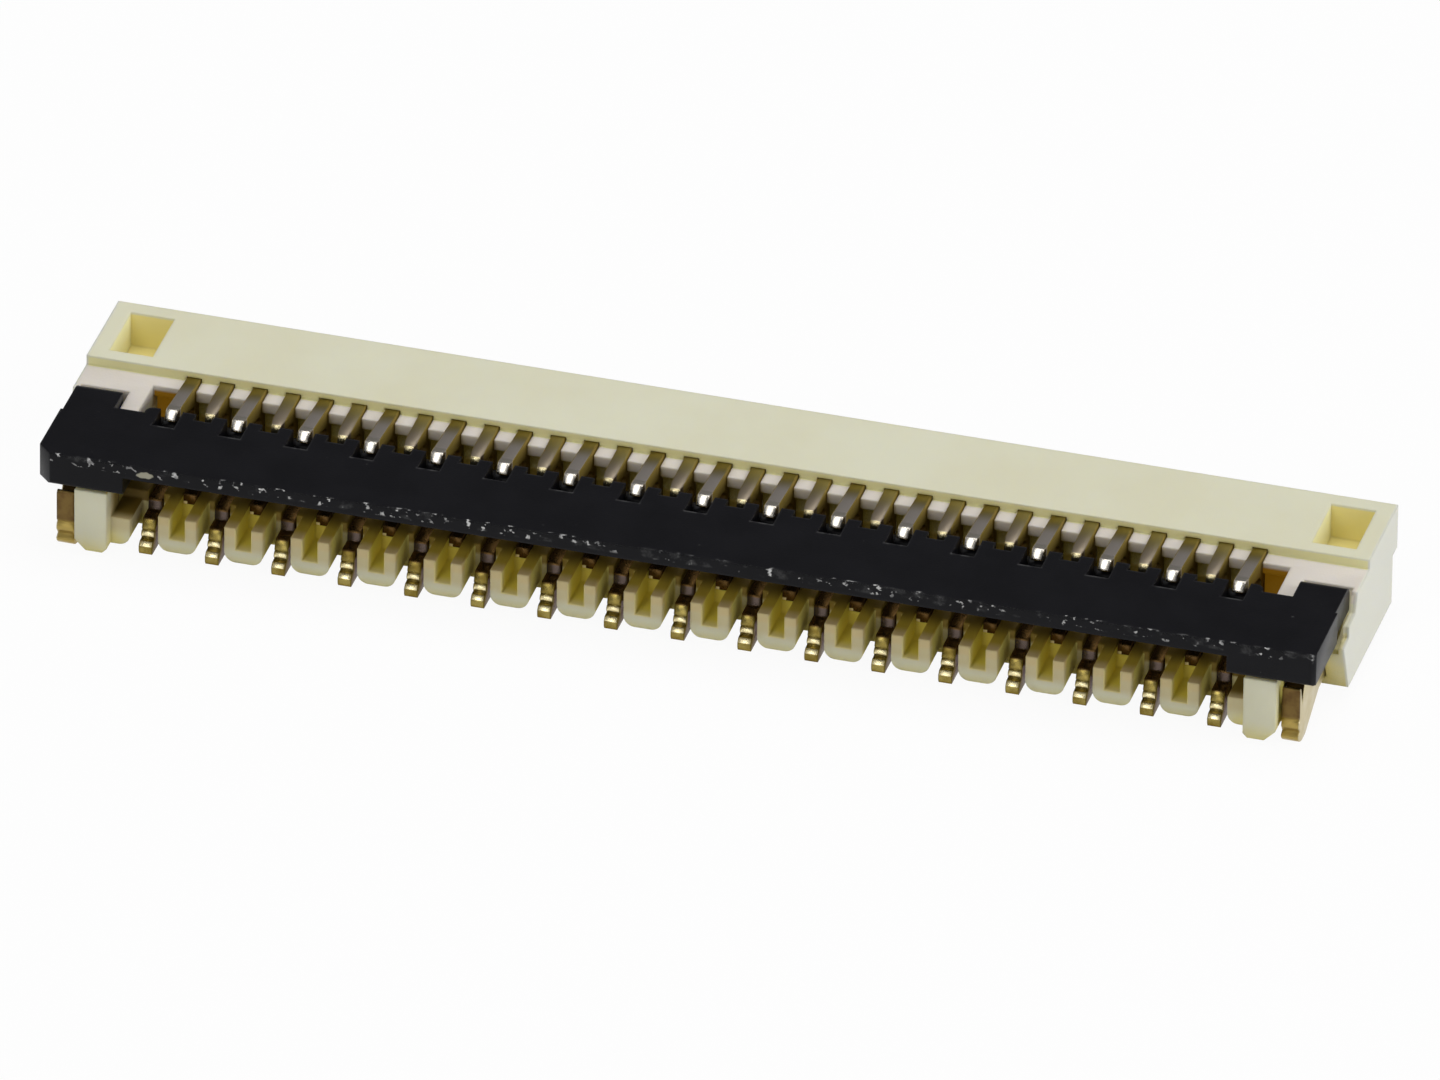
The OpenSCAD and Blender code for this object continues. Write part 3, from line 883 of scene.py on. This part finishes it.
def make_actuator_plastic():
    material, tree, shader = start_material("black_actuator_plastic")
    place = use_group(tree, place_group)
    grain = use_group(
        tree, grain_group, Place=place["Place"], Grain_Scale=ACTUATOR_GRAIN, Cloud_Scale=ACTUATOR_CLOUD)
    rear = zone(tree, place, Y=REAR_FACE_Y)
    smear, edge_glints, edge_glint_colour = edge_smear_and_glints(tree, place, rear)
    chip = both(tree, chip_mask(tree, place), rear)

    colour = mix_colour(tree, grain["Cloud"], BLACK, BLACK_WORN)
    colour = mix_colour(tree, smear, colour, SMEAR)
    # The stray specks and the painted highlight on the notch edges, then the painted glints along the
    # lifting edge.
    colour = mix_colour(tree, stray_specks_and_notch_highlight(tree, place), colour, SMEAR)
    colour = mix_colour(tree, edge_glints, colour, edge_glint_colour)
    put(tree, shader.inputs["Base Color"], mix_colour(tree, chip, colour, CHIP_PALE))
    put(tree, shader.inputs["Roughness"], mix_value(tree, grain["Gloss"], *ACTUATOR_GLOSS))
    shader.inputs["Specular IOR Level"].default_value = 0.13
    add_bump(tree, shader, grain["Height"], GRAIN_HEIGHT * MM, SHADED_EDGE * MM)
    return material


actuator_plastic = make_actuator_plastic()
dress(nodes["actuator"], actuator_plastic)
print("actuator:", actuator_plastic.name)

# %% [markdown]
# The contacts are stamped from thin copper alloy and plated. Two small painted highlights sit on
# them: pale bands on the knuckle and the toe of each rear tail, where the bends catch the light,
# and a pale glint on the lower left corner of each stub end, deep in the slot of a lump. All tails
# have the same shape, so a mask on height and depth marks every one of them.

# %% Contacts: painted highlights on the bends and stub ends
rear_low, rear_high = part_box("contact_01")
half_sheet = in_mm((rear_high.x - rear_low.x) / 2)
tail_rear = in_mm(rear_low.y)
stub_rear = in_mm(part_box("contact_02")[0].y)
KNUCKLE_HIGHLIGHT = {"Z": (0.148, 0.178, 0.012), "Y": (tail_rear, tail_rear + 0.12, 0.01)}
TOE_HIGHLIGHT = {"Z": (0.086, 0.112, 0.008), "Y": (tail_rear - 0.02, tail_rear + 0.035, 0.01)}
STUB_GLINT = {"Z": (0.355, 0.385, 0.01), "Y": (stub_rear - 0.01, stub_rear + 0.01, 0.01)}
STUB_GLINT_INSET = 0.012
STUB_GLINT_ACROSS = (-0.02, 0.02, 0.008)


def bend_highlight_mask(tree, place):
    return either(tree, zone(tree, place, **KNUCKLE_HIGHLIGHT), zone(tree, place, **TOE_HIGHLIGHT))


def stub_glint_mask(tree, place):
    corner = from_tail(tree, place, pitch + half_sheet - STUB_GLINT_INSET)
    return both(tree, band(tree, corner, *STUB_GLINT_ACROSS), zone(tree, place, **STUB_GLINT))


print("sheet", 2 * half_sheet, "mm thick, tails end at Y", tail_rear, "and stubs at Y", stub_rear)

# %% [markdown]
# The tails and the springs under the cable carry gold. The flat sides of the sheet get a painted
# olive shade. The stretch under the lever gets a painted dull brown shade, apart from a short
# upright face with a painted grey light. The upper arms show the nickel underneath; where they leave
# the housing they get a painted olive reflection of the step, and their flanks a painted olive shade.

# %% Contacts: colours of tail and arm
GOLD = linear(157, 141, 79)
GOLD_DEEP = linear(122, 104, 46)
GLINT_GOLD_PALE = linear(250, 236, 186)
FLANK_SHADE_OLIVE = linear(124, 108, 36)
LEVER_SHADOW_BROWN = linear(98, 74, 41)
RISER_LIGHT_GREY = linear(88, 76, 70)
ROOT_REFLECTION_OLIVE = linear(172, 160, 108)
ARM_FLANK_SHADE = linear(150, 130, 66)

ROOF_REAR = 0.15
LEVER_SHADOW_Y = (-1.175, -0.1, 0.012)
RISER = {"Y": (-1.022, -1.004, 0.006), "Z": (0.3, 0.37, 0.01)}
ROOT_Y = (ROOF_REAR - 0.36, ROOF_REAR - 0.1)


def tail_colours(tree, place, tone, flank):
    gold = mix_colour(tree, tone, GOLD, GOLD_DEEP)
    # Painted highlights on the bends, painted shade on the flanks and under the lever, painted light on
    # the riser.
    gold = mix_colour(tree, bend_highlight_mask(tree, place), gold, GLINT_GOLD_PALE)
    gold = mix_colour(tree, flank, gold, FLANK_SHADE_OLIVE)
    shaded = mix_colour(tree, zone(tree, place, Y=LEVER_SHADOW_Y), gold, LEVER_SHADOW_BROWN)
    return mix_colour(tree, zone(tree, place, **RISER), shaded, RISER_LIGHT_GREY)


def arm_colours(tree, place, nickel, flank):
    # Painted olive reflection of the step at the root, painted olive shade on the flanks.
    root = smooth_step(tree, place["Y"], *ROOT_Y)
    return mix_colour(tree, flank, mix_colour(tree, root, nickel, ROOT_REFLECTION_OLIVE), ARM_FLANK_SHADE)


print("dull stretch from Y", LEVER_SHADOW_Y[0], "to", LEVER_SHADOW_Y[1])

# %% [markdown]
# Rear and front contacts differ in the arm: the long rear arms are grey with a slight painted
# highlight on the tip, and the short front arms are tan and duller, a tone that is in part painted
# shade, as they sit lower, with a pale gold painted glint on the tip. Two small tables hold what
# differs, so that one function can make both platings. On the short arms the tip's rounding is
# widened in the shader, because the thin sheet alone would catch too small a spot of light.

# %% Contacts: the two kinds of arm
REAR_ARM = {
    "nickel": linear(222, 214, 206), "gloss": 0.3, "sheet_middle": 0.0,
    "tip_highlight_colour": linear(232, 226, 214), "tip_start": -0.42, "tip_radius": 0.02,
}
FRONT_ARM = {
    "nickel": linear(168, 155, 136), "gloss": 0.38, "sheet_middle": pitch,
    "tip_highlight_colour": GLINT_GOLD_PALE, "tip_start": -0.375, "tip_radius": 0.06,
}
FLANK = (half_sheet - 0.008, half_sheet - 0.003)
ARM_Z = (0.55, 0.7)
TIP_FADE = 0.02


def arm_masks(tree, place, arm):
    """Three masks: the flat sides of the sheet, the arm above the plating line, and its tip."""
    across = from_tail(tree, place, arm["sheet_middle"])
    flank = smooth_step(tree, across, *FLANK)
    upper = smooth_step(tree, place["Z"], *ARM_Z)
    ahead = smooth_step(tree, place["Y"], arm["tip_start"], arm["tip_start"] + TIP_FADE)
    return flank, upper, both(tree, upper, opposite(tree, ahead), opposite(tree, flank))


print("tips start at Y", REAR_ARM["tip_start"], "and", FRONT_ARM["tip_start"])

# %% [markdown]
# The plating stacks the tail, the arm, the painted tip highlight and the painted stub glint. The
# arms are plain metal, while the tails and above all the flat sides are a little less metallic, so
# that they keep some colour of their own where they would only mirror the dark. The gloss follows
# the patches of the plating.

# %% Finish: plated contacts
EDGE_GOLD = linear(150, 128, 70)
TAIL_GLOSS, TIP_GLOSS = (0.18, 0.32), 0.2
TAIL_METAL, ARM_METAL, FLANK_DULLING = 0.8, 1.0, 0.5
TAIL_EDGE, ARM_EDGE = 0.03, 0.02
STREAK_SCALE, STREAK_HEIGHT = 35.0, 0.0005


def make_contact_plating(name, arm):
    material, tree, shader = start_material(name)
    place = use_group(tree, place_group)
    streak = use_group(tree, streak_group, Place=place["Place"], Streak_Scale=STREAK_SCALE)
    flank, upper, tip = arm_masks(tree, place, arm)
    stub_glint = stub_glint_mask(tree, place)

    tail = tail_colours(tree, place, streak["Tone"], flank)
    colour = mix_colour(tree, upper, tail, arm_colours(tree, place, arm["nickel"], flank))
    # The tip gets its painted highlight and each stub end its painted glint.
    colour = mix_colour(tree, tip, colour, arm["tip_highlight_colour"])
    put(tree, shader.inputs["Base Color"], mix_colour(tree, stub_glint, colour, GLINT_GOLD_PALE))
    gloss = mix_value(tree, upper, mix_value(tree, streak["Tone"], *TAIL_GLOSS), arm["gloss"])
    put(tree, shader.inputs["Roughness"], mix_value(tree, tip, gloss, TIP_GLOSS))
    dulled = either(tree, stub_glint, weaken(tree, flank, FLANK_DULLING))
    metal = both(tree, mix_value(tree, upper, TAIL_METAL, ARM_METAL), opposite(tree, dulled))
    put(tree, shader.inputs["Metallic"], metal)
    shader.inputs["Specular Tint"].default_value = EDGE_GOLD
    shader.inputs["Specular IOR Level"].default_value = 0.15
    rounding = mix_value(tree, upper, TAIL_EDGE * MM, ARM_EDGE * MM)
    rounding = mix_value(tree, tip, rounding, arm["tip_radius"] * MM)
    add_bump(tree, shader, streak["Height"], STREAK_HEIGHT * MM, rounding)
    return material


rear_plating = make_contact_plating("rear_contact_plating", REAR_ARM)
front_plating = make_contact_plating("front_contact_plating", FRONT_ARM)
print("platings:", rear_plating.name, front_plating.name)

# %% [markdown]
# The contacts are numbered along the row, and the two kinds take turns: odd ones have their solder
# tail at the rear, even ones at the mouth.

# %% Plate the contacts
contacts = [name for name in nodes if name.startswith("contact_")]
for name in contacts:
    is_rear = int(name.split("_")[1]) % 2 == 1
    dress(nodes[name], rear_plating if is_rear else front_plating)
print("contacts plated:", len(contacts))

# %% [markdown]
# The solder nails are thicker sheet. Their flat sides and the foot are plated, but the sheared rear
# end above the foot shows the bare alloy, which has browned. A mask on height and depth keeps the
# brown on that one cut face. The outer flat side gets a paler painted reflection of the white
# surroundings, and everything else above the foot, which lies in the housing's slot and under the
# lever, gets a dark painted shade.

# %% Finish: solder nails
NAIL_GOLD = linear(166, 144, 80)
NAIL_SIDE_REFLECTION = linear(200, 188, 152)
NAIL_BROWN = linear(92, 70, 42)
NAIL_PAINTED_SHADE = linear(46, 34, 14)

nail_rear = in_mm(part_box("nail_left")[0].y)
nail_side = in_mm(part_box("nail_right")[1].x)
ABOVE_FOOT_Z = (0.24, 0.29)
CUT_FACE_Y = (nail_rear + 0.02, nail_rear + 0.035)
OUTER_SIDE = (nail_side - 0.012, nail_side - 0.004)
BROWN_SHARE = (0.8, 1.0)
NAIL_GLOSS = (0.32, 0.5)
NAIL_STREAK_SCALE, NAIL_STREAK_HEIGHT = 25.0, 0.001


def make_nail_plating():
    material, tree, shader = start_material("solder_nail_plating")
    place = use_group(tree, place_group)
    streak = use_group(tree, streak_group, Place=place["Place"], Streak_Scale=NAIL_STREAK_SCALE)
    upper = smooth_step(tree, place["Z"], *ABOVE_FOOT_Z)
    cut = opposite(tree, smooth_step(tree, place["Y"], *CUT_FACE_Y))
    outer = smooth_step(tree, place["Side"], *OUTER_SIDE)
    # Above the foot, all but the outer side and the cut face get painted shade.
    painted_shade_above_foot = both(tree, upper, opposite(tree, either(tree, outer, cut)))
    brown = both(tree, upper, cut, mix_value(tree, streak["Tone"], *BROWN_SHARE))
    colour = mix_colour(tree, outer, NAIL_GOLD, NAIL_SIDE_REFLECTION)
    colour = mix_colour(tree, painted_shade_above_foot, colour, NAIL_PAINTED_SHADE)
    put(tree, shader.inputs["Base Color"], mix_colour(tree, brown, colour, NAIL_BROWN))
    put(tree, shader.inputs["Roughness"], mix_value(tree, streak["Tone"], *NAIL_GLOSS))
    shader.inputs["Metallic"].default_value = 1.0
    add_bump(tree, shader, streak["Height"], NAIL_STREAK_HEIGHT * MM, SHADED_EDGE * MM)
    return material


nail_plating = make_nail_plating()
for name in ("nail_left", "nail_right"):
    dress(nodes[name], nail_plating)
print("nails:", nail_plating.name)

# %% [markdown]
# The part stands on a plain white table. The camera and the shiny metal see the table as white,
# while bounced light meets an ordinary pale surface, so the table does not act as a lamp. A share
# of the ordinary surface stays in view, and that share carries the soft shadow.

# %% Floor material
TABLE_GREY = (0.78, 0.78, 0.78, 1)
SHADOW_SHARE = 0.06


def make_floor_material():
    material, tree, shader = start_material("white_table")
    shader.inputs["Base Color"].default_value = TABLE_GREY
    shader.inputs["Roughness"].default_value = 0.8
    shader.inputs["Specular IOR Level"].default_value = 0.1
    glow = add_node(tree, "ShaderNodeEmission")
    glow.inputs["Strength"].default_value = 1.0
    path = add_node(tree, "ShaderNodeLightPath").outputs
    mirrored = either(tree, path["Is Glossy Ray"], path["Is Transmission Ray"])
    seen = either(tree, path["Is Camera Ray"], mirrored)
    blend = add_node(tree, "ShaderNodeMixShader")
    put(tree, blend.inputs[0], weaken(tree, seen, 1 - SHADOW_SHARE))
    put(tree, blend.inputs[1], shader.outputs[0])
    put(tree, blend.inputs[2], glow.outputs[0])
    put(tree, tree.nodes["Material Output"].inputs["Surface"], blend.outputs[0])
    return material


table_white = make_floor_material()
print("floor material:", table_white.name)

# %% [markdown]
# The table is one large square, so its edge never comes into view. It lies a hair below the solder
# feet, because two faces in the same plane would both claim the same pixels.

# %% Floor
FLOOR_HALF = 2.0
FLOOR_DROP = 0.002 * MM


def make_floor():
    h = FLOOR_HALF
    mesh = bpy.data.meshes.new("floor")
    mesh.from_pydata([(-h, -h, 0), (h, -h, 0), (h, h, 0), (-h, h, 0)], [], [(0, 1, 2, 3)])
    mesh.materials.append(table_white)
    floor = bpy.data.objects.new("floor", mesh)
    floor.location.z = -FLOOR_DROP
    bpy.context.scene.collection.objects.link(floor)
    return floor


floor = make_floor()
print("floor half width in m:", FLOOR_HALF)

# %% [markdown]
# A light tent gives even light from all round. Its wall is a plain grey world, paler near the
# horizon and dim higher up. The dim part matters here: it is what the flat tops of the contact arms
# and the black plate mirror towards the camera.

# %% Light: the tent
TENT_LOW = (0.5, 0.5, 0.5, 1)
TENT_HIGH = (0.16, 0.16, 0.165, 1)
TENT_CLIMB = (0.05, 0.3)


def make_world():
    world = bpy.data.worlds.new("tent")
    world.use_nodes = True
    tree = world.node_tree
    way = split(tree, add_node(tree, "ShaderNodeTexCoord").outputs["Generated"])
    climb = smooth_step(tree, way["Z"], *TENT_CLIMB)
    tone = mix_colour(tree, climb, TENT_LOW, TENT_HIGH)
    put(tree, tree.nodes["Background"].inputs["Color"], tone)
    bpy.context.scene.world = world
    return world


print("world:", make_world().name)

# %% [markdown]
# Brighter panels hang in the tent: above, to both sides and in front. The last one stands where the
# rounded contact tips mirror it into the camera, which gives them their white spots. The panels are
# area lamps, each listed with its place, width and height in millimetres and its power in watts.

# %% Light: the panels
PANELS = {
    "top_panel": ((30, 40, 300), 260, 260, 0.57),
    "right_panel": ((300, 0, 120), 200, 200, 0.52),
    "left_panel": ((-280, -60, 160), 200, 200, 0.12),
    "front_panel": ((-20, -300, 46), 120, 120, 0.06),
    "tip_panel": ((-84, -300, 226), 115, 180, 0.21),
}


def add_panel(name, place, width, height, power):
    """A flat area lamp that faces the part."""
    lamp = bpy.data.lights.new(name, "AREA")
    lamp.shape = "RECTANGLE"
    lamp.size = width * MM
    lamp.size_y = height * MM
    lamp.energy = power
    panel = bpy.data.objects.new(name, lamp)
    panel.location = Vector(place) * MM
    panel.rotation_euler = (-panel.location).to_track_quat("-Z", "Y").to_euler()
    bpy.context.scene.collection.objects.link(panel)


for name, settings in PANELS.items():
    add_panel(name, *settings)
print("panels:", len(PANELS))
